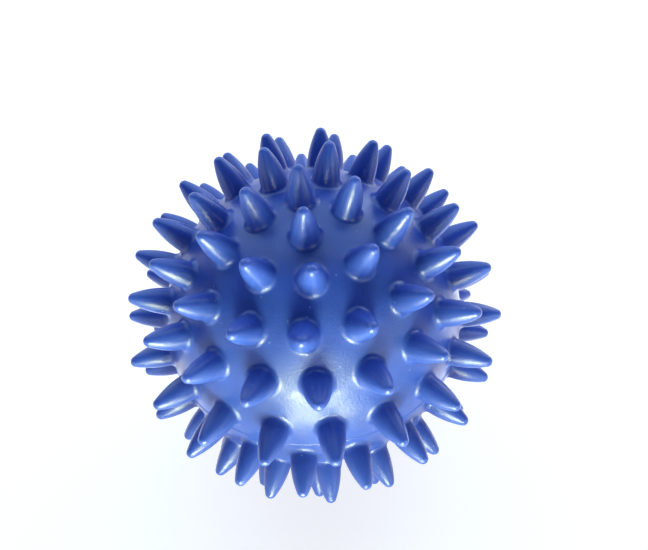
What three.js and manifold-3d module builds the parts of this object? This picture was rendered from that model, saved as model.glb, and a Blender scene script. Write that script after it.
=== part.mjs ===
// Spiky massage ball: a hollow ball in two moulded shells, joined on a lapped rim, with rings of
// solid spikes round one axis and a self-sealing needle valve at the lower pole.
// Millimetres. +Z runs from the ball's centre to the single spike at the upper pole.

import * as THREE from 'three';
import { mergeVertices } from 'three/addons/utils/BufferGeometryUtils.js';
import Module from 'manifold-3d';

// Hollow core
const CORE_RADIUS = 35.5;
const WALL = 2.4;
const CORE_SIDES = 40; // facets round the axis
const CORE_STEP = 9; // degrees between the rings of facets

// Spikes, shaped like a bullet: the side is one arc, from a nearly straight root to the round end
const TIP_REACH = 45; // from the ball's centre to the end of a spike
const TIP_RADIUS = 1.3; // of the round end
const TIP_TAPER = 24.5; // degrees between the side and the axis where the round end starts
const SIDE_RADIUS = 21; // of the side's arc
const FILLET = 1; // height of the root's fillet, and how far it spreads over the core
const ROOT_SINK = 0.9; // how far the spike's solid reaches into the wall
const SPIKE_SIDES = 8;

// Rings of spikes: polar angle from +Z, number of spikes, and the first spike's turn from +X towards +Y
const UPPER_RINGS = [
  { polar: 0, count: 1, turn: 0 },
  { polar: 15.6, count: 5, turn: 130 },
  { polar: 31.6, count: 11, turn: 111.6 },
  { polar: 49.4, count: 15, turn: 101.4 },
  { polar: 66.1, count: 18, turn: 93 },
  { polar: 85.7, count: 19, turn: 105.6 },
];
const LOWER_RINGS = [
  { polar: 104, count: 19, turn: 95 },
  { polar: 119.8, count: 17, turn: 104.2 },
  { polar: 134.5, count: 14, turn: 88.4 },
  { polar: 149, count: 10, turn: 97 },
  { polar: 163.5, count: 5, turn: 108 },
];

// Joint between the shells: a tongue under the upper rim sits inside the lower rim
const PARTING_POLAR = 95;
const GAP = 0.3; // between pieces that are joined or pressed together
const LAND = 1.2; // wall thickness that butts at the parting line
const TONGUE_LENGTH = 2;

// Valve at the lower pole
const VALVE_SIDES = 24;
const VALVE_FACE = -35.2; // level of the flange's outer face
const FLANGE_RADIUS = 4.2;
const FLANGE_THICKNESS = 1.2;
const SLEEVE_RADIUS = 2.9;
const BEAD_RADIUS = 3.5; // inner bead that keeps the sleeve in its bore
const BEAD_LENGTH = 1.2;
const BOSS_RADIUS = 6.4;
const BOSS_TOP = -29; // level of the thickened wall's inner face
const PLUG_RADIUS = 1.3;
const COLLAR_RADIUS = 1.9;
const COLLAR_LENGTH = 1.6;
const NEEDLE_RADIUS = 0.45;
const NEEDLE_DEPTH = 3.2;
const DIMPLE_RADIUS = 0.95;
const DIMPLE_DEPTH = 0.7;

const VINYL = { color: 0x2f4fb4, roughness: 0.35, metalness: 0 };
const RUBBER = { color: 0x1b2a63, roughness: 0.65, metalness: 0 };

const wasm = await Module();
wasm.setup();

// A point in a lathe's profile, on a circle round the centre: polar angle in degrees from +Z
function onSphere(radius, polar) {
  const angle = THREE.MathUtils.degToRad(polar);
  return new THREE.Vector2(radius * Math.sin(angle), radius * Math.cos(angle));
}

// Profile points along a circle round the centre, from one polar angle to another
function arc(radius, from, to) {
  const steps = Math.ceil(Math.abs(to - from) / CORE_STEP);
  return Array.from({ length: steps + 1 }, (_, i) => onSphere(radius, from + ((to - from) * i) / steps));
}

// Polar angle at which a circle round the centre reaches a height, or below the centre a distance
// from the axis
const polarAtHeight = (radius, z) => THREE.MathUtils.radToDeg(Math.acos(z / radius));
const polarAtBore = (radius, bore) => 180 - THREE.MathUtils.radToDeg(Math.asin(bore / radius));

// Turns a profile of (distance from the axis, z) into a closed geometry round Z. The profile runs with
// the material on its left, and a profile clear of the axis closes on itself.
function turned(profile, sides) {
  const geometry = new THREE.LatheGeometry(profile, sides);
  geometry.rotateX(Math.PI / 2);
  return geometry;
}

// One closed manifold solid from a geometry, without the zero-area triangles that lie on a lathe's axis
function solid(geometry) {
  const bare = geometry.clone();
  bare.deleteAttribute('normal');
  bare.deleteAttribute('uv');
  const merged = mergeVertices(bare, 1e-4);
  const corners = merged.index.array;
  const kept = [];
  for (let i = 0; i < corners.length; i += 3) {
    const [a, b, c] = corners.slice(i, i + 3);
    if (a !== b && b !== c && c !== a) {
      kept.push(a, b, c);
    }
  }
  const vertProperties = new Float32Array(merged.attributes.position.array);
  return new wasm.Manifold(new wasm.Mesh({ numProp: 3, vertProperties, triVerts: new Uint32Array(kept) }));
}

function geometryOf(manifold) {
  const { vertProperties, triVerts } = manifold.getMesh();
  const geometry = new THREE.BufferGeometry();
  geometry.setAttribute('position', new THREE.BufferAttribute(new Float32Array(vertProperties), 3));
  geometry.setIndex(new THREE.BufferAttribute(new Uint32Array(triVerts), 1));
  geometry.computeVertexNormals();
  return geometry;
}

// A spike along +Z: a flared root, a side that bellies out a little and a round end
function spikeGeometry() {
  const taper = THREE.MathUtils.degToRad(TIP_TAPER);
  const endCentre = TIP_REACH - TIP_RADIUS;
  const toArcCentre = SIDE_RADIUS - TIP_RADIUS;
  const arcCentreX = -toArcCentre * Math.cos(taper);
  const arcCentreZ = endCentre - toArcCentre * Math.sin(taper);
  const side = (z) => new THREE.Vector2(arcCentreX + Math.sqrt(SIDE_RADIUS ** 2 - (z - arcCentreZ) ** 2), z);
  const end = (angle) => onSphere(TIP_RADIUS, 90 - angle).add(new THREE.Vector2(0, endCentre));
  const foot = CORE_RADIUS - ROOT_SINK;
  const sideStart = CORE_RADIUS + FILLET;
  const sideEnd = end(TIP_TAPER).y;
  const profile = [
    new THREE.Vector2(0, foot),
    new THREE.Vector2(side(CORE_RADIUS).x + FILLET + ROOT_SINK / 2, foot),
    side(sideStart),
    side((2 * sideStart + sideEnd) / 3),
    side((sideStart + 2 * sideEnd) / 3),
    end(TIP_TAPER),
    end((TIP_TAPER + 90) / 2),
    new THREE.Vector2(0, TIP_REACH),
  ];
  return turned(profile, SPIKE_SIDES);
}

function spikeDirections(rings) {
  const directions = [];
  for (const { polar, count, turn } of rings) {
    for (let i = 0; i < count; i += 1) {
      const azimuth = THREE.MathUtils.degToRad(turn + (360 * i) / count);
      const { x, y } = onSphere(1, polar);
      directions.push(new THREE.Vector3(x * Math.cos(azimuth), x * Math.sin(azimuth), y));
    }
  }
  return directions;
}

function withSpikes(shellGeometry, rings) {
  const up = new THREE.Vector3(0, 0, 1);
  let shell = solid(shellGeometry);
  for (const direction of spikeDirections(rings)) {
    const turn = new THREE.Quaternion().setFromUnitVectors(up, direction);
    shell = shell.add(solid(spikeGeometry().applyQuaternion(turn)));
  }
  return geometryOf(shell);
}

// Measures that both shells share at the parting line
const seamZ = CORE_RADIUS * Math.cos(THREE.MathUtils.degToRad(PARTING_POLAR));
const innerRadius = CORE_RADIUS - WALL;
const landInside = Math.sqrt(CORE_RADIUS ** 2 - seamZ ** 2) - LAND;
const tongueInside = Math.sqrt(innerRadius ** 2 - (seamZ - TONGUE_LENGTH) ** 2) - GAP;

function upperShell() {
  const profile = [
    ...arc(innerRadius, 0, polarAtHeight(innerRadius, seamZ)),
    new THREE.Vector2(tongueInside, seamZ - TONGUE_LENGTH),
    new THREE.Vector2(landInside - GAP, seamZ - TONGUE_LENGTH),
    new THREE.Vector2(landInside - GAP, seamZ),
    ...arc(CORE_RADIUS, PARTING_POLAR, 0),
  ];
  return withSpikes(turned(profile, CORE_SIDES), UPPER_RINGS);
}

function lowerShell() {
  const rimZ = seamZ - GAP;
  const shelfZ = seamZ - TONGUE_LENGTH - GAP;
  const counterbore = FLANGE_RADIUS + GAP;
  const counterboreZ = VALVE_FACE + FLANGE_THICKNESS + GAP;
  const profile = [
    ...arc(CORE_RADIUS, polarAtHeight(CORE_RADIUS, rimZ), polarAtBore(CORE_RADIUS, counterbore)),
    new THREE.Vector2(counterbore, counterboreZ),
    new THREE.Vector2(SLEEVE_RADIUS + GAP, counterboreZ),
    new THREE.Vector2(SLEEVE_RADIUS + GAP, BOSS_TOP),
    new THREE.Vector2(BOSS_RADIUS, BOSS_TOP),
    ...arc(innerRadius, polarAtBore(innerRadius, BOSS_RADIUS), polarAtHeight(innerRadius, shelfZ)),
    new THREE.Vector2(landInside, shelfZ),
    new THREE.Vector2(landInside, rimZ),
  ];
  profile.push(profile[0].clone());
  return withSpikes(turned(profile.reverse(), CORE_SIDES), LOWER_RINGS);
}

// Rubber sleeve: outer flange, body through the boss, inner bead, and a stepped bore for the plug
function valveHousing() {
  const top = BOSS_TOP + GAP + BEAD_LENGTH;
  const middle = (VALVE_FACE + top) / 2;
  const profile = [
    new THREE.Vector2(PLUG_RADIUS + GAP, VALVE_FACE),
    new THREE.Vector2(FLANGE_RADIUS, VALVE_FACE),
    new THREE.Vector2(FLANGE_RADIUS, VALVE_FACE + FLANGE_THICKNESS),
    new THREE.Vector2(SLEEVE_RADIUS, VALVE_FACE + FLANGE_THICKNESS),
    new THREE.Vector2(SLEEVE_RADIUS, BOSS_TOP + GAP),
    new THREE.Vector2(BEAD_RADIUS, BOSS_TOP + GAP),
    new THREE.Vector2(SLEEVE_RADIUS, top),
    new THREE.Vector2(PLUG_RADIUS + GAP, top),
    new THREE.Vector2(PLUG_RADIUS + GAP, middle + COLLAR_LENGTH / 2 + GAP),
    new THREE.Vector2(COLLAR_RADIUS + GAP, middle + COLLAR_LENGTH / 2 + GAP),
    new THREE.Vector2(COLLAR_RADIUS + GAP, middle - COLLAR_LENGTH / 2 - GAP),
    new THREE.Vector2(PLUG_RADIUS + GAP, middle - COLLAR_LENGTH / 2 - GAP),
  ];
  profile.push(profile[0].clone());
  return geometryOf(solid(turned(profile, VALVE_SIDES)));
}

// Rubber plug with a collar, and a needle hole that closes by itself above its open end
function valveCore() {
  const top = BOSS_TOP + GAP + BEAD_LENGTH;
  const middle = (VALVE_FACE + top) / 2;
  const profile = [
    new THREE.Vector2(0, VALVE_FACE + NEEDLE_DEPTH),
    new THREE.Vector2(NEEDLE_RADIUS, VALVE_FACE + NEEDLE_DEPTH),
    new THREE.Vector2(NEEDLE_RADIUS, VALVE_FACE + DIMPLE_DEPTH),
    new THREE.Vector2(DIMPLE_RADIUS, VALVE_FACE),
    new THREE.Vector2(PLUG_RADIUS, VALVE_FACE),
    new THREE.Vector2(PLUG_RADIUS, middle - COLLAR_LENGTH / 2),
    new THREE.Vector2(COLLAR_RADIUS, middle - COLLAR_LENGTH / 2),
    new THREE.Vector2(COLLAR_RADIUS, middle + COLLAR_LENGTH / 2),
    new THREE.Vector2(PLUG_RADIUS, middle + COLLAR_LENGTH / 2),
    new THREE.Vector2(PLUG_RADIUS, top),
    new THREE.Vector2(0, top),
  ];
  return geometryOf(solid(turned(profile, VALVE_SIDES)));
}

function part(name, geometry, finish) {
  const mesh = new THREE.Mesh(geometry, new THREE.MeshStandardMaterial(finish));
  mesh.name = name;
  return mesh;
}

const ball = new THREE.Group();
ball.add(part('upper_shell', upperShell(), VINYL));
ball.add(part('lower_shell', lowerShell(), VINYL));
ball.add(part('valve_housing', valveHousing(), RUBBER));
ball.add(part('valve_core', valveCore(), RUBBER));

export default ball;
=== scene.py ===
"""Spiky massage ball: smooth moulded shells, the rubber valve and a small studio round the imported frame.

Shapes are worked out in millimetres and turned into metres when a mesh is made. +Z runs from the ball's
centre to the single spike at the upper pole, and the valve is at the lower pole.
"""

import math
import random

import bmesh
import bpy
from mathutils import Matrix, Vector


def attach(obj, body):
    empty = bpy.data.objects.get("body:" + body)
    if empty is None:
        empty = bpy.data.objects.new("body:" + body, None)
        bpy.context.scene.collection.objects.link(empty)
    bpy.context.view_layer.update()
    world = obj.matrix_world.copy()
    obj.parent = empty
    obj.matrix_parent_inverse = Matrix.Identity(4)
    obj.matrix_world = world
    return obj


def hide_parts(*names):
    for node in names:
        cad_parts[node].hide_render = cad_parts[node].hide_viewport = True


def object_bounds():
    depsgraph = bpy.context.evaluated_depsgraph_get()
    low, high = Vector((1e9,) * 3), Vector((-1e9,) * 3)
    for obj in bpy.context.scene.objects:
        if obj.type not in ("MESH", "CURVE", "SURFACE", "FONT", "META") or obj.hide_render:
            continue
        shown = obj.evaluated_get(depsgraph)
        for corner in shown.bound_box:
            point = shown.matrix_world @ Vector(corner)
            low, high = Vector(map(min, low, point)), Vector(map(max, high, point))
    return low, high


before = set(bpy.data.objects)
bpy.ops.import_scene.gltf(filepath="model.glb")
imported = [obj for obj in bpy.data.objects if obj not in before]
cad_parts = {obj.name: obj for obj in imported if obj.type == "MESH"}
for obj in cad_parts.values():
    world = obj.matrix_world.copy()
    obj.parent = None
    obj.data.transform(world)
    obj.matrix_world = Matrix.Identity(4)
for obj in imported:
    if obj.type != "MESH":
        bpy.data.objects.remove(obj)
CAD_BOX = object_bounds()

MM = 0.001

# Hollow core, as in the frame
CORE_RADIUS = 35.5
WALL = 2.4
INNER_RADIUS = CORE_RADIUS - WALL

# Spikes: the side is one arc, and the tip stops a little inside the frame's
TIP_REACH = 44.93
TIP_RADIUS = 1.3
TIP_TAPER = math.radians(24.5)
SIDE_RADIUS = 21
FILLET_RADIUS = 1.3
LEAN = 0.22  # the most that a spike's tip stands off its axis
LEAN_START = CORE_RADIUS + 1  # where a spike starts to bend
LEAN_CURVE = 1.5  # above 1, more of the bend is near the tip
SPIKE_SIDES = 36
FILLET_STEPS = 7
SIDE_STEPS = 7
TIP_STEPS = 6

# Rings of spikes: polar angle, number of spikes, first spike's turn from +X towards +Y
UPPER_RINGS = (
    (0, 1, 0),
    (15.6, 5, 130),
    (31.6, 11, 111.6),
    (49.4, 15, 101.4),
    (66.1, 18, 93),
    (85.7, 19, 105.6),
)
LOWER_RINGS = (
    (104, 19, 95),
    (119.8, 17, 104.2),
    (134.5, 14, 88.4),
    (149, 10, 97),
    (163.5, 5, 108),
)
UPPER_SEED = 3  # for the random leans
LOWER_SEED = 8

# Lapped and welded joint between the shells
SEAM_Z = CORE_RADIUS * math.cos(math.radians(95))
GAP = 0.3
LAND = 1.2
TONGUE_LENGTH = 2
RIM_SIDES = 240
FLASH_HEIGHT = 0.13
FLASH_WIDTH = 0.34
FLASH_PROFILE = ((0.8, 0.12), (0.6, 0.7), (0.35, 1), (0.12, 0.8), (0, 0.35))  # shares of width and height
UPPER_RIM = SEAM_Z + FLASH_WIDTH + 0.1  # where the core ends and the rim begins
LOWER_RIM = SEAM_Z - 0.4
RIM_GAP = 0.03
RIM_EDGE = ((0.12, 0.02), (RIM_GAP, 0.1))  # the lower rim's worn edge: below the seam, in from the core

# Valve
VALVE_FACE = -35.2
FLANGE_RADIUS = 4.2
FLANGE_THICKNESS = 1.2
SLEEVE_RADIUS = 2.9
BEAD_RADIUS = 3.5
BEAD_LENGTH = 1.2
BOSS_RADIUS = 6.4
BOSS_TOP = -29
PLUG_RADIUS = 1.3
COLLAR_RADIUS = 1.9
COLLAR_LENGTH = 1.6
NEEDLE_RADIUS = 0.45
NEEDLE_DEPTH = 3.2
NEEDLE_TAPER = 0.4  # length of the needle hole's tapered end
NEEDLE_CONE = 0.1  # and of the cone that closes it
DIMPLE_RADIUS = 0.95
DIMPLE_DEPTH = 0.7
PLUG_RECESS = 0.06
PLUG_CENTRE = 0.4  # radius of the smallest ring on its flat top
PLUG_CLEARANCE = 0.04
GROOVE_RADIUS = 3.1
GROOVE_HALF = 0.25
GROOVE_DEPTH = 0.22
VALVE_TOP = BOSS_TOP + GAP + BEAD_LENGTH
COLLAR_BOTTOM = (VALVE_FACE + VALVE_TOP - COLLAR_LENGTH) / 2
COLLAR_TOP = COLLAR_BOTTOM + COLLAR_LENGTH
HOUSING_CORNER = 0.09
PLUG_CORNER = 0.1
VALVE_SIDES = 72

FILL_SPACING = 1.25  # between the core's own points, clear of the spikes
INNER_STEP = math.radians(6)
SHARP_ANGLE = math.radians(40)
CORNER_STEPS = 4


# ---------------------------------------------------------------- shapes


class Surface:
    """Points in millimetres and the faces between them, for one closed piece."""

    def __init__(self):
        self.points = []
        self.faces = []

    def add(self, points):
        """The new points' numbers, in order."""
        start = len(self.points)
        self.points.extend(points)
        return list(range(start, len(self.points)))

    def stitch(self, one, other):
        """Faces between two rings that start at the same turn and may differ in their number of points."""
        if len(one) == len(other):
            for i, a in enumerate(one):
                j = (i + 1) % len(one)
                self.faces.append((a, one[j], other[j], other[i]))
            return
        i = j = 0
        while i < len(one) or j < len(other):
            a, b = one[i % len(one)], other[j % len(other)]
            if (i + 1) / len(one) <= (j + 1) / len(other):
                self.faces.append((a, one[(i + 1) % len(one)], b))
                i += 1
            else:
                self.faces.append((a, other[(j + 1) % len(other)], b))
                j += 1

    def close(self, ring, apex):
        """Triangles from a ring to one point."""
        for i, a in enumerate(ring):
            self.faces.append((a, ring[(i + 1) % len(ring)], apex))

    def turn(self, outline, sides, start=None):
        """Rings round Z through (distance from the axis, z) points, from an earlier ring if given.
        A point on the axis closes the rings, and the last ring's numbers are returned."""
        ring = start
        for radius, z in outline:
            if radius == 0:
                self.close(ring, self.add([Vector((0, 0, z))])[0])
                return None
            following = self.add(circle(radius, z, sides))
            if ring is not None:
                self.stitch(ring, following)
            ring = following
        return ring

    def piece(self, name, material):
        """The finished object, in metres, with its faces pointing out."""
        mesh = bpy.data.meshes.new(name)
        mesh.from_pydata([p * MM for p in self.points], [], self.faces)
        bm = bmesh.new()
        bm.from_mesh(mesh)
        bmesh.ops.recalc_face_normals(bm, faces=bm.faces)
        bm.to_mesh(mesh)
        bm.free()
        mesh.shade_smooth()
        mesh.set_sharp_from_angle(angle=SHARP_ANGLE)
        mesh.materials.append(material)
        piece = bpy.data.objects.new(name, mesh)
        bpy.context.scene.collection.objects.link(piece)
        return piece


def circle(radius, z, sides):
    turns = (math.tau * i / sides for i in range(sides))
    return [Vector((radius * math.cos(t), radius * math.sin(t), z)) for t in turns]


def direction(polar, azimuth):
    return Vector((math.sin(polar) * math.cos(azimuth), math.sin(polar) * math.sin(azimuth), math.cos(polar)))


def spike_axes(rings):
    return [
        direction(math.radians(polar), math.radians(turn + 360 * i / count))
        for polar, count, turn in rings
        for i in range(count)
    ]


def arc_points(centre, radius, start, end, steps):
    angles = (start + (end - start) * i / steps for i in range(steps + 1))
    return [(centre[0] + radius * math.cos(a), centre[1] + radius * math.sin(a)) for a in angles]


def spike_outline():
    """(distance from the axis, height from the ball's centre) points, from the fillet's foot to near the tip.
    The fillet touches the core and the side's arc, and the side's arc touches the round end."""
    tip = (0, TIP_REACH - TIP_RADIUS)
    offset = SIDE_RADIUS - TIP_RADIUS
    side = (-offset * math.cos(TIP_TAPER), tip[1] - offset * math.sin(TIP_TAPER))
    to_side = math.hypot(*side)
    hub = CORE_RADIUS + FILLET_RADIUS
    reach = SIDE_RADIUS + FILLET_RADIUS
    apart = math.acos((hub**2 + to_side**2 - reach**2) / (2 * hub * to_side))
    slope = math.atan2(side[1], side[0]) - apart
    fillet = (hub * math.cos(slope), hub * math.sin(slope))
    meeting = math.atan2(fillet[1] - side[1], fillet[0] - side[0])
    points = arc_points(fillet, FILLET_RADIUS, math.pi + slope, math.pi + meeting, FILLET_STEPS)
    points += arc_points(side, SIDE_RADIUS, meeting, TIP_TAPER, SIDE_STEPS)[1:]
    points += arc_points(tip, TIP_RADIUS, TIP_TAPER, math.radians(90), TIP_STEPS)[1:-1]
    return math.radians(90) - slope, points


SPIKE_FOOT, SPIKE_OUTLINE = spike_outline()


def spike_rings(axis, chance):
    """The rings of points up one spike, and its tip. A moulded spike leans a little off its axis."""
    along = axis.orthogonal().normalized()
    across = axis.cross(along)
    way = chance.uniform(0, math.tau)
    lean = (along * math.cos(way) + across * math.sin(way)) * LEAN * math.sqrt(chance.random())
    rings = []
    for radius, height in SPIKE_OUTLINE:
        share = max(0, (height - LEAN_START) / (TIP_REACH - LEAN_START))
        middle = axis * height + lean * share**LEAN_CURVE
        turns = (math.tau * i / SPIKE_SIDES for i in range(SPIKE_SIDES))
        rings.append([middle + (along * math.cos(t) + across * math.sin(t)) * radius for t in turns])
    return rings, axis * TIP_REACH + lean


def core_points(axes, low, high):
    """Evenly spread points on the core between two heights, clear of the spikes' feet."""
    count = round(4 * math.pi * CORE_RADIUS**2 / (FILL_SPACING**2 * math.sqrt(3) / 2))
    golden_angle = math.pi * (3 - math.sqrt(5))
    clear = math.cos(SPIKE_FOOT + 0.5 * FILL_SPACING / CORE_RADIUS)
    points = []
    for i in range(count):
        z = 1 - (2 * i + 1) / count
        if not low < z * CORE_RADIUS < high:
            continue
        point = direction(math.acos(z), golden_angle * i)
        if all(point.dot(axis) < clear for axis in axes):
            points.append(point * CORE_RADIUS)
    return points


def skin_core(surface, loops):
    """Covers the core between the loops: the convex hull of points on a sphere, less the cap of each loop."""
    bm = bmesh.new()
    for point in surface.points:
        bm.verts.new(point / CORE_RADIUS)
    bm.verts.index_update()
    bmesh.ops.convex_hull(bm, input=bm.verts[:])
    bmesh.ops.triangulate(bm, faces=bm.faces[:])
    owner = {number: which for which, loop in enumerate(loops) for number in loop}
    for face in bm.faces:
        corners = [vert.index for vert in face.verts]
        owners = {owner.get(number) for number in corners}
        if len(owners) > 1 or None in owners:
            surface.faces.append(tuple(corners))
    bm.free()


def spiked_shell(rings, low, high, loops, seed):
    """The outside of a shell: core and spikes. loops are its open edges, which come back as point numbers."""
    chance = random.Random(seed)
    surface = Surface()
    axes = spike_axes(rings)
    edges = [surface.add(loop) for loop in loops]
    spikes = [spike_rings(axis, chance) for axis in axes]
    feet = [surface.add(spike[0]) for spike, _ in spikes]
    margin = 0.5 * FILL_SPACING
    surface.add(core_points(axes, low + margin, high - margin))
    skin_core(surface, edges + feet)
    for foot, (levels, tip) in zip(feet, spikes):
        ring = foot
        for level in levels[1:]:
            following = surface.add(level)
            surface.stitch(ring, following)
            ring = following
        surface.close(ring, surface.add([tip])[0])
    return surface, edges


def on_core(z):
    """Distance from the axis to the core's outside at a height."""
    return math.sqrt(CORE_RADIUS**2 - z**2)


def inner_arc(start, end):
    """(distance from the axis, z) points along the inside of the core between two polar angles."""
    steps = max(1, math.ceil(abs(end - start) / INNER_STEP))
    angles = (start + (end - start) * i / steps for i in range(steps + 1))
    return [(INNER_RADIUS * math.sin(a), INNER_RADIUS * math.cos(a)) for a in angles]


LAND_INSIDE = on_core(SEAM_Z) - LAND


def upper_shell(material):
    """The upper half, with the thin flash of the parting line on its rim and the tongue under it."""
    loops = [circle(on_core(UPPER_RIM), UPPER_RIM, RIM_SIDES)]
    surface, (edge,) = spiked_shell(UPPER_RINGS, UPPER_RIM, TIP_REACH, loops, UPPER_SEED)
    flash = [
        (on_core(SEAM_Z + FLASH_WIDTH * share) + FLASH_HEIGHT * height, SEAM_Z + FLASH_WIDTH * share)
        for share, height in FLASH_PROFILE
    ]
    tongue_end = SEAM_Z - TONGUE_LENGTH
    tongue = [
        (LAND_INSIDE - GAP, SEAM_Z),
        (LAND_INSIDE - GAP, tongue_end),
        (math.sqrt(INNER_RADIUS**2 - tongue_end**2) - GAP, tongue_end),
    ]
    inside = inner_arc(math.acos(SEAM_Z / INNER_RADIUS), 0)
    surface.turn(flash + tongue + inside[:-1] + [(0, INNER_RADIUS)], RIM_SIDES, edge)
    return surface.piece("upper_shell_skin", material)


def lower_shell(material):
    """The lower half, with the pocket for the tongue, the valve's boss and its counterbored hole."""
    bore = FLANGE_RADIUS + GAP
    bore_z = -on_core(bore)
    loops = [circle(on_core(LOWER_RIM), LOWER_RIM, RIM_SIDES), circle(bore, bore_z, VALVE_SIDES)]
    surface, (edge, hole) = spiked_shell(LOWER_RINGS, bore_z, LOWER_RIM, loops, LOWER_SEED)
    shelf = SEAM_Z - TONGUE_LENGTH - GAP
    worn_edge = [(on_core(SEAM_Z - drop) - inset, SEAM_Z - drop) for drop, inset in RIM_EDGE]
    pocket = [(LAND_INSIDE, SEAM_Z - RIM_GAP), (LAND_INSIDE, shelf)]
    inside = inner_arc(math.acos(shelf / INNER_RADIUS), math.pi - math.asin(BOSS_RADIUS / INNER_RADIUS))
    ring = surface.turn(worn_edge + pocket + inside, RIM_SIDES, edge)
    counterbore_z = VALVE_FACE + FLANGE_THICKNESS + GAP
    boss = [
        (BOSS_RADIUS, BOSS_TOP),
        (SLEEVE_RADIUS + GAP, BOSS_TOP),
        (SLEEVE_RADIUS + GAP, counterbore_z),
        (bore, counterbore_z),
    ]
    ring = surface.turn(boss, VALVE_SIDES, ring)
    surface.stitch(ring, hole)
    return surface.piece("lower_shell_skin", material)


# ---------------------------------------------------------------- valve


def rounded(points, radius):
    """An outline with each corner between its ends cut back and rounded by a quadratic curve."""
    outline = [points[0]]
    for before, corner, after in zip(points, points[1:], points[2:]):
        here = Vector(corner)
        start = here + (Vector(before) - here).normalized() * radius
        end = here + (Vector(after) - here).normalized() * radius
        for i in range(CORNER_STEPS + 1):
            t = i / CORNER_STEPS
            outline.append(tuple(start * (1 - t) ** 2 + here * 2 * t * (1 - t) + end * t**2))
    outline.append(points[-1])
    return outline


def valve_housing(material):
    """Rubber sleeve: flange with a shallow moulded groove, body, inner bead, and a stepped bore."""
    bore = PLUG_RADIUS + PLUG_CLEARANCE
    flange_top = VALVE_FACE + FLANGE_THICKNESS
    outline = [
        (bore, COLLAR_BOTTOM - GAP),
        (bore, VALVE_FACE),
        (GROOVE_RADIUS - GROOVE_HALF, VALVE_FACE),
        (GROOVE_RADIUS, VALVE_FACE + GROOVE_DEPTH),
        (GROOVE_RADIUS + GROOVE_HALF, VALVE_FACE),
        (FLANGE_RADIUS, VALVE_FACE),
        (FLANGE_RADIUS, flange_top),
        (SLEEVE_RADIUS, flange_top),
        (SLEEVE_RADIUS, BOSS_TOP + GAP),
        (BEAD_RADIUS, BOSS_TOP + GAP),
        (SLEEVE_RADIUS, VALVE_TOP),
        (bore, VALVE_TOP),
        (bore, COLLAR_TOP + GAP),
        (COLLAR_RADIUS + GAP, COLLAR_TOP + GAP),
        (COLLAR_RADIUS + GAP, COLLAR_BOTTOM - GAP),
    ]
    surface = Surface()
    curve = rounded(outline, HOUSING_CORNER)
    first = surface.add(circle(*curve[0], VALVE_SIDES))
    last = surface.turn(curve[1:], VALVE_SIDES, first)
    surface.stitch(last, first)
    return surface.piece("valve_housing_skin", material)


def valve_core(material):
    """Rubber plug with a collar and a dimpled needle hole."""
    needle_top = VALVE_FACE + NEEDLE_DEPTH
    outline = [
        (NEEDLE_RADIUS / 2, needle_top),
        (NEEDLE_RADIUS, needle_top - NEEDLE_TAPER),
        (NEEDLE_RADIUS, VALVE_FACE + DIMPLE_DEPTH),
        (DIMPLE_RADIUS, VALVE_FACE + PLUG_RECESS),
        (PLUG_RADIUS, VALVE_FACE + PLUG_RECESS),
        (PLUG_RADIUS, COLLAR_BOTTOM),
        (COLLAR_RADIUS, COLLAR_BOTTOM),
        (COLLAR_RADIUS, COLLAR_TOP),
        (PLUG_RADIUS, COLLAR_TOP),
        (PLUG_RADIUS, VALVE_TOP),
        (PLUG_CENTRE, VALVE_TOP),
    ]
    surface = Surface()
    curve = rounded(outline, PLUG_CORNER)
    ring = surface.add(circle(*curve[0], VALVE_SIDES))
    surface.close(ring, surface.add([Vector((0, 0, needle_top + NEEDLE_CONE))])[0])
    surface.turn(curve[1:] + [(0, VALVE_TOP)], VALVE_SIDES, ring)
    return surface.piece("valve_core_skin", material)


# ---------------------------------------------------------------- materials

DEEP_BLUE = (0.018, 0.050, 0.310)
MID_BLUE = (0.029, 0.076, 0.430)
# The paler blue below is partly tip wear and partly painted shade: the spikes' roots and the core stay darker
# than the tips.
TIP_WEAR_AND_ROOT_SHADE_BLUE = (0.045, 0.100, 0.500)
DUST = (0.30, 0.40, 0.66)
DARK_RUBBER = (0.012, 0.022, 0.085)
TALC_RUBBER = (0.030, 0.046, 0.140)
WEAR_AND_SHADE_START, WEAR_AND_SHADE_END = 36.5 * MM, 44.5 * MM  # from the centre: paler towards the tips, partly as worn tips and partly as painted shade that leaves the spikes' roots and the core darker
POLISH_START, POLISH_END = 37.5 * MM, 43.5 * MM  # and smoother
FLOOR_GLOW = 0.75


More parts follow.
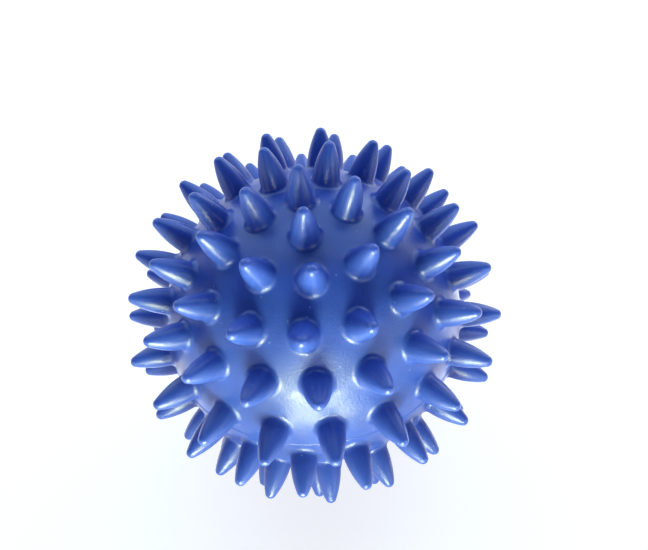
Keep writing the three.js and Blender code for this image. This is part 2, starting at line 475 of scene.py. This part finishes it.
class Nodes:
    """A node material, built by short calls."""

    def __init__(self, name):
        self.material = bpy.data.materials.new(name)
        self.material.use_nodes = True
        self.tree = self.material.node_tree
        self.shader = self.tree.nodes["Principled BSDF"]

    def add(self, kind, **settings):
        """A node, with its own settings, or its sockets' values where a setting's name is a socket's."""
        node = self.tree.nodes.new(kind)
        for name, value in settings.items():
            socket = name.replace("_", " ").title()
            if socket in node.inputs:
                node.inputs[socket].default_value = value
            else:
                setattr(node, name, value)
        return node

    def set_shader(self, **settings):
        """Fixed values on the shader's own sockets."""
        for name, value in settings.items():
            socket = "IOR" if name == "ior" else name.replace("_", " ").title()
            self.shader.inputs[socket].default_value = value

    def link(self, source, target):
        self.tree.links.new(source, target)

    def place(self):
        return self.add("ShaderNodeTexCoord").outputs["Object"]

    def noise(self, scale, detail=3.0, roughness=0.5):
        node = self.add("ShaderNodeTexNoise", scale=scale, detail=detail, roughness=roughness)
        self.link(self.place(), node.inputs["Vector"])
        return node.outputs["Fac"]

    def ramp(self, value, *stops):
        """Colours against a value from 0 to 1, each stop a (place, colour) pair."""
        node = self.tree.nodes.new("ShaderNodeValToRGB")
        while len(node.color_ramp.elements) < len(stops):
            node.color_ramp.elements.new(1)
        for element, (place, colour) in zip(node.color_ramp.elements, stops):
            element.position = place
            element.color = (*colour, 1)
        self.link(value, node.inputs["Fac"])
        return node.outputs["Color"]

    def spread(self, value, low, high, to_low, to_high):
        """A value moved from one range to another, and held inside it."""
        node = self.tree.nodes.new("ShaderNodeMapRange")
        for name, number in (("From Min", low), ("From Max", high), ("To Min", to_low), ("To Max", to_high)):
            node.inputs[name].default_value = number
        self.link(value, node.inputs["Value"])
        return node.outputs["Result"]

    def lay_over(self, share, under, colour):
        """One colour laid over another by a share. Sockets 6 and 7 are the node's two colours."""
        node = self.add("ShaderNodeMix", data_type="RGBA")
        self.link(share, node.inputs[0])
        self.link(under, node.inputs[6])
        node.inputs[7].default_value = (*colour, 1)
        return node.outputs[2]

    def bump(self, height, strength, distance, below=None):
        node = self.add("ShaderNodeBump", strength=strength, distance=distance)
        self.link(height, node.inputs["Height"])
        if below is not None:
            self.link(below, node.inputs["Normal"])
        return node.outputs["Normal"]


def reach(nodes):
    """Distance from the ball's centre, in metres."""
    node = nodes.add("ShaderNodeVectorMath", operation="LENGTH")
    nodes.link(nodes.place(), node.inputs[0])
    return node.outputs["Value"]


def vinyl():
    """Satin blue vinyl: mottled colour, paler worn tips with painted shade that keeps the spikes' roots and
    the core darker, fine mould grain and a few caught specks of dust.
    """
    nodes = Nodes("moulded_vinyl")
    mottle = nodes.ramp(nodes.noise(55, 4.0, 0.55), (0.28, DEEP_BLUE), (0.72, MID_BLUE))
    out = reach(nodes)
    # Painted shade: the colour grows paler towards the tips, so the spikes' roots and the core look shaded;
    # the paler tips also stand for wear.
    colour = nodes.lay_over(nodes.spread(out, WEAR_AND_SHADE_START, WEAR_AND_SHADE_END, 0.0, 0.5), mottle, TIP_WEAR_AND_ROOT_SHADE_BLUE)
    specks = nodes.add("ShaderNodeTexVoronoi", scale=330.0)
    nodes.link(nodes.place(), specks.inputs["Vector"])
    dust = nodes.spread(specks.outputs["Distance"], 0.03, 0.075, 0.5, 0.0)
    colour = nodes.lay_over(dust, colour, DUST)
    nodes.link(colour, nodes.shader.inputs["Base Color"])
    smudge = nodes.spread(nodes.noise(140, 3.0), 0.3, 0.7, 0.34, 0.43)
    polish = nodes.spread(out, POLISH_START, POLISH_END, 1.0, 0.84)
    rough = nodes.add("ShaderNodeMath", operation="MULTIPLY")
    nodes.link(smudge, rough.inputs[0])
    nodes.link(polish, rough.inputs[1])
    nodes.link(rough.outputs["Value"], nodes.shader.inputs["Roughness"])
    nodes.set_shader(
        ior=1.53,
        specular_tint=(0.9, 1, 1, 1),
        subsurface_weight=0.12,
        subsurface_radius=(0.25, 0.45, 1.0),
        subsurface_scale=1.2 * MM,
        coat_weight=0.16,
        coat_roughness=0.17,
    )
    waves = nodes.bump(nodes.noise(110, 2.0), 0.2, 0.12 * MM)
    grain = nodes.bump(nodes.noise(2200, 2.0, 0.6), 1.0, 0.065 * MM, waves)
    nodes.link(grain, nodes.shader.inputs["Normal"])
    return nodes.material


def rubber():
    """Matt dark blue valve rubber with a talc bloom and a coarse moulded grain."""
    nodes = Nodes("moulded_rubber")
    colour = nodes.ramp(nodes.noise(260, 4.0, 0.6), (0.3, DARK_RUBBER), (0.75, TALC_RUBBER))
    nodes.link(colour, nodes.shader.inputs["Base Color"])
    nodes.link(nodes.spread(nodes.noise(500, 3.0), 0.3, 0.7, 0.48, 0.68), nodes.shader.inputs["Roughness"])
    nodes.set_shader(ior=1.5)
    nodes.link(nodes.bump(nodes.noise(2200, 3.0), 0.5, 0.03 * MM), nodes.shader.inputs["Normal"])
    return nodes.material


def table_top():
    """Matt white acrylic that is lit from below, as on a product table."""
    nodes = Nodes("pale_floor")
    colour = nodes.ramp(nodes.noise(9, 3.0), (0.3, (0.38, 0.38, 0.38)), (0.7, (0.42, 0.42, 0.42)))
    nodes.link(colour, nodes.shader.inputs["Base Color"])
    nodes.set_shader(roughness=0.7, emission_color=(1, 1, 1, 1), emission_strength=FLOOR_GLOW)
    return nodes.material


# ---------------------------------------------------------------- studio

CAMERA_DISTANCE = 185.7
CAMERA_AZIMUTH = 4.4  # from -Y towards +X
CAMERA_ELEVATION = 47.7
CAMERA_ROLL = -4.9
CAMERA_AIM = (3.0, 6.6, 6.5)
CAMERA_LENS = 41.9

FLOOR_HALF = 1500
FLOOR_DROP = 0.05  # below the lowest spike
SKY_COLOUR = (0.92, 0.96, 1.0, 1)
SKY_LOW = 0.9  # radiance at the horizon
SKY_HIGH = 0.0  # and overhead
SKY_FADE = 0.32  # height of the haze, as the sine of its elevation

# Lights: name, place, the point it faces, width and height, radiance, colour
CENTRE = (0, 0, 0)
SOFTBOXES = (
    ("overhead", (0, 350, 450), CENTRE, (1200, 900), 1.6, (0.52, 0.75, 1)),
    ("back_left", (-300, 300, 160), CENTRE, (300, 260), 0.4, (1, 1, 1)),
    ("back_right", (300, 300, 160), CENTRE, (300, 260), 1.4, (1, 1, 1)),
    ("front_panel", (0, -370, 80), CENTRE, (330, 60), 3.9, (0.82, 0.95, 1)),
    ("side_left", (-330, -250, 60), CENTRE, (200, 200), 0.8, (0.8, 0.95, 1)),
    ("side_right", (330, -250, 60), CENTRE, (200, 200), 1.8, (0.8, 0.95, 1)),
    ("front_key", (0, -330, -20), CENTRE, (110, 44), 32, (1, 1, 0.55)),
    ("table_far", (0, -247.5, -42.5), (0, -247.5, 60), (124, 65), 92, (0.93, 1, 0.52)),
    ("table_near", (0, -110, -42.5), (0, -110, 60), (83, 30), 15, (1, 1, 0.55)),
    ("table_left", (-75, 30, -42.5), (-75, 30, 60), (60, 90), 0.9, (1, 1, 1)),
    ("table_right", (75, 30, -42.5), (75, 30, 60), (60, 90), 1.3, (1, 1, 1)),
)


def facing(place, aim):
    """The matrix, in metres, of a camera or light at place that looks at aim."""
    back = (Vector(place) - Vector(aim)).normalized()
    turn = back.to_track_quat("Z", "Y").to_matrix()
    return Matrix.Translation(Vector(place) * MM) @ turn.to_4x4()


def add_camera():
    azimuth = math.radians(CAMERA_AZIMUTH)
    place = direction(math.radians(90 - CAMERA_ELEVATION), azimuth - math.pi / 2) * CAMERA_DISTANCE
    roll = Matrix.Rotation(math.radians(CAMERA_ROLL), 4, "Z")
    data = bpy.data.cameras.new("camera")
    data.lens = CAMERA_LENS
    data.clip_start = 0.01
    camera = bpy.data.objects.new("camera", data)
    camera.matrix_world = facing(place, CAMERA_AIM) @ roll
    bpy.context.scene.collection.objects.link(camera)
    bpy.context.scene.camera = camera


def add_softbox(name, place, aim, size, radiance, colour):
    """A rectangular light at place, in millimetres, that faces aim. The camera doesn't see it."""
    data = bpy.data.lights.new(name, "AREA")
    data.shape = "RECTANGLE"
    data.size, data.size_y = (side * MM for side in size)
    data.energy = 4 * data.size * data.size_y * radiance
    data.color = colour
    light = bpy.data.objects.new(name, data)
    light.matrix_world = facing(place, aim)
    light.visible_camera = False
    bpy.context.scene.collection.objects.link(light)


def add_floor():
    mesh = bpy.data.meshes.new("floor")
    half = FLOOR_HALF * MM
    z = CAD_BOX[0][2] - FLOOR_DROP * MM
    corners = [(-half, -half, z), (half, -half, z), (half, half, z), (-half, half, z)]
    mesh.from_pydata(corners, [], [(0, 1, 2, 3)])
    mesh.materials.append(table_top())
    floor = bpy.data.objects.new("floor", mesh)
    bpy.context.scene.collection.objects.link(floor)


def add_sky():
    """A pale haze above the horizon that fades upwards."""
    world = bpy.data.worlds.new("studio")
    world.use_nodes = True
    tree = world.node_tree
    way = tree.nodes.new("ShaderNodeTexCoord")
    split = tree.nodes.new("ShaderNodeSeparateXYZ")
    fade = tree.nodes.new("ShaderNodeMapRange")
    fade.interpolation_type = "SMOOTHSTEP"
    fade.inputs["From Min"].default_value = 0
    fade.inputs["From Max"].default_value = SKY_FADE
    fade.inputs["To Min"].default_value = SKY_LOW
    fade.inputs["To Max"].default_value = SKY_HIGH
    background = tree.nodes["Background"]
    background.inputs["Color"].default_value = SKY_COLOUR
    tree.links.new(way.outputs["Generated"], split.inputs["Vector"])
    tree.links.new(split.outputs["Z"], fade.inputs["Value"])
    tree.links.new(fade.outputs["Result"], background.inputs["Strength"])
    bpy.context.scene.world = world


def build():
    vinyl_material, rubber_material = vinyl(), rubber()
    pieces = (
        (upper_shell, vinyl_material, "upper_shell", "ball_vinyl"),
        (lower_shell, vinyl_material, "lower_shell", "ball_vinyl"),
        (valve_housing, rubber_material, "valve_housing", "valve_rubber"),
        (valve_core, rubber_material, "valve_core", "valve_rubber"),
    )
    for make, material, node, slot in pieces:
        piece = make(material)
        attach(piece, "root")
        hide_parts(node)


add_camera()
build()
add_floor()
add_sky()
for softbox in SOFTBOXES:
    add_softbox(*softbox)
bpy.context.scene.view_settings.view_transform = "Standard"
